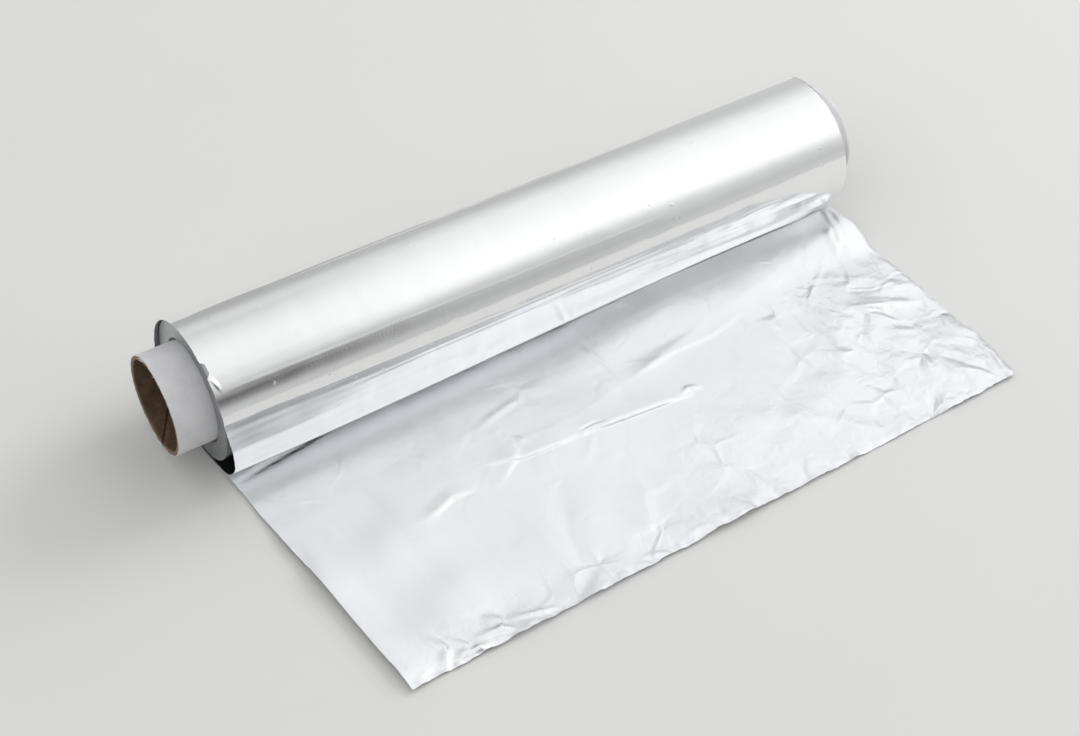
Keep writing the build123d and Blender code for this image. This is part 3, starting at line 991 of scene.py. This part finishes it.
def make_sheet():
    """The sheet and the bed under the roll: bright side down, satin side up, creased by hand."""
    share, down = np.meshgrid(grid_places(sheet_columns), grid_places(sheet_rows), indexing="xy")
    across = share * foil_width
    nicks = 0.35 * soft_noise(across, down, 6.0, 51) + 0.25 * soft_noise(across, down, 1.7, 52)
    front = near_corner_y + share * (far_corner_y - near_corner_y)
    front = front + nicks * (1 - 0.2 * ease(share * 20))
    y = bed_back + down * (front - bed_back)
    side_wave = 0.35 * soft_noise(y, 0 * y, 14.0, 53) + 0.12 * soft_noise(y, 0 * y, 2.5, 54)
    x = near_edge_x(y) + share * (far_edge_x(y) - near_edge_x(y))
    x = x + side_wave * np.exp(-share * 30) + 1.5 * side_wave * np.exp(-(1 - share) * 30)
    rough = crumple_strength(x, y)
    z = sheet_height(x, y, across, down, rough)
    points = np.stack([x, y, z], axis=-1)[::-1]
    web = np.stack([across, y, rough], axis=-1)[::-1]
    sheet = grid_piece("foil_sheet", points[:, ::-1], web[:, ::-1])
    give_wall(sheet, web_wall)
    dress(sheet, "foil", bright_foil, satin_foil)
    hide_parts("foil")
    return sheet


# Studio: a pale table, a soft room and one broad lamp


table_width = 9.0
table_drop = 0.0001


def make_table():
    """The table top, a hair under the foil, which isn't part of the roll."""
    bpy.ops.mesh.primitive_plane_add(size=table_width, location=(0, 0, -table_drop))
    table = bpy.context.object
    table.name = "table"
    table.data.materials.append(table_top)


# How bright the soft room is round the roll: degrees up from the horizon behind the roll, over the top
# and down to the horizon in front, then the level towards the near end, the middle and the far end
room_levels = [
    (-60, 0.55, 0.58, 0.60),
    (-8, 0.60, 0.61, 0.66),
    (3, 0.46, 0.57, 0.65),
    (11, 0.47, 0.54, 0.63),
    (19, 0.55, 0.58, 0.62),
    (27, 0.68, 0.69, 0.65),
    (35, 0.75, 0.80, 0.73),
    (47, 0.70, 0.93, 0.88),
    (60, 0.83, 0.97, 1.03),
    (76, 0.94, 1.04, 1.08),
    (90, 0.99, 1.09, 1.12),
    (104, 0.98, 1.12, 1.20),
    (117, 0.95, 1.15, 1.25),
    (126, 0.83, 1.11, 1.20),
    (134, 0.79, 0.93, 1.12),
    (142, 0.61, 0.71, 0.94),
    (150, 0.34, 0.60, 0.74),
    (158, 0.12, 0.55, 0.64),
    (166, 0.28, 0.49, 0.59),
    (174, 0.57, 0.55, 0.63),
    (186, 0.60, 0.60, 0.64),
    (240, 0.55, 0.58, 0.60),
]
room_start = -90.0
full_turn = 360.0

# Where the light of the near end gives way to that of the middle, and that to the far end's, as how far
# a direction leans along X, and how bright the room is as a whole
room_blends = [(0.27, 0.39), (0.42, 0.53)]
room_strength = 0.935


def make_room():
    """The soft room round the table, as light that changes only with direction."""
    world = bpy.data.worlds.new("soft_room")
    bpy.context.scene.world = world
    world.use_nodes = True
    tree = world.node_tree
    background = tree.nodes["Background"]
    direction = tree.nodes.new("ShaderNodeTexCoord").outputs["Generated"]
    split = node(tree, "ShaderNodeSeparateXYZ", Vector=direction)
    backwards = math_node(tree, "MULTIPLY", split.outputs["Y"], -1.0)
    turn = math_node(tree, "ARCTAN2", backwards, split.outputs["Z"])
    share = math_node(tree, "MULTIPLY_ADD", turn, 1 / (2 * pi), 0.5)
    sides = []
    for side in (1, 2, 3):
        stops = [((level[0] - room_start) / full_turn, (level[side],) * 3) for level in room_levels]
        sides.append(ramp(tree, share, stops))
    room = sides[0]
    for (start, stop), side in zip(room_blends, sides[1:]):
        along = remap(tree, split.outputs["X"], start, stop, interpolation_type="SMOOTHSTEP")
        room = mix_colours(tree, along, room, side)
    fill_inputs(tree, background, Color=room, Strength=room_strength)


# Lamp: its place and width in metres, and its power
lamp_place = (1.88, 0.28, 1.05)
lamp_width = 1.0
lamp_power = 19.0


def make_lamp():
    """One broad soft lamp, high over the far end, which gives the roll its soft shadow.

    The foil doesn't mirror it, only the soft room."""
    light = bpy.data.lights.new("soft_lamp", "AREA")
    light.shape = "SQUARE"
    light.size = lamp_width
    light.energy = lamp_power
    lamp = place_piece("soft_lamp", light)
    lamp.location = lamp_place
    lamp.visible_glossy = False
    lamp.rotation_mode = "QUATERNION"
    lamp.rotation_quaternion = lamp.location.to_track_quat("Z", "Y")


# Camera: where the photograph was taken from, with its picture taken as 1080 by 736 pixels
camera_azimuth = -38.14
camera_elevation = 50.06
camera_roll = 7.30
camera_distance = 823.37
camera_target = (-9.87, -35.77, 0.0)
focal_pixels = 1973.32
picture_width = 1080
sensor_width = 36.0


def make_camera():
    """The camera, aimed and rolled as the photograph was."""
    azimuth, elevation, roll = (radians(a) for a in (camera_azimuth, camera_elevation, camera_roll))
    back = Vector((sin(azimuth) * cos(elevation), -cos(azimuth) * cos(elevation), sin(elevation)))
    level = Vector((cos(azimuth), sin(azimuth), 0))
    upright = back.cross(level)
    right = cos(roll) * level + sin(roll) * upright
    up = -sin(roll) * level + cos(roll) * upright
    data = bpy.data.cameras.new("camera")
    data.sensor_width = sensor_width
    data.lens = focal_pixels / picture_width * sensor_width
    camera = place_piece("camera", data)
    place = (Vector(camera_target) + back * camera_distance) * MM
    axes = Matrix((right, up, back)).transposed().to_4x4()
    camera.matrix_world = Matrix.Translation(place) @ axes
    bpy.context.scene.camera = camera


tube = make_board_tube()
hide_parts("core_tube")
wrap = make_white_wrap()
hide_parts("core_white_ply")
make_torn_fibres()
make_winding()
make_turn()
make_sheet()
make_table()
make_room()
make_lamp()
make_camera()

bpy.context.scene.view_settings.view_transform = "Standard"
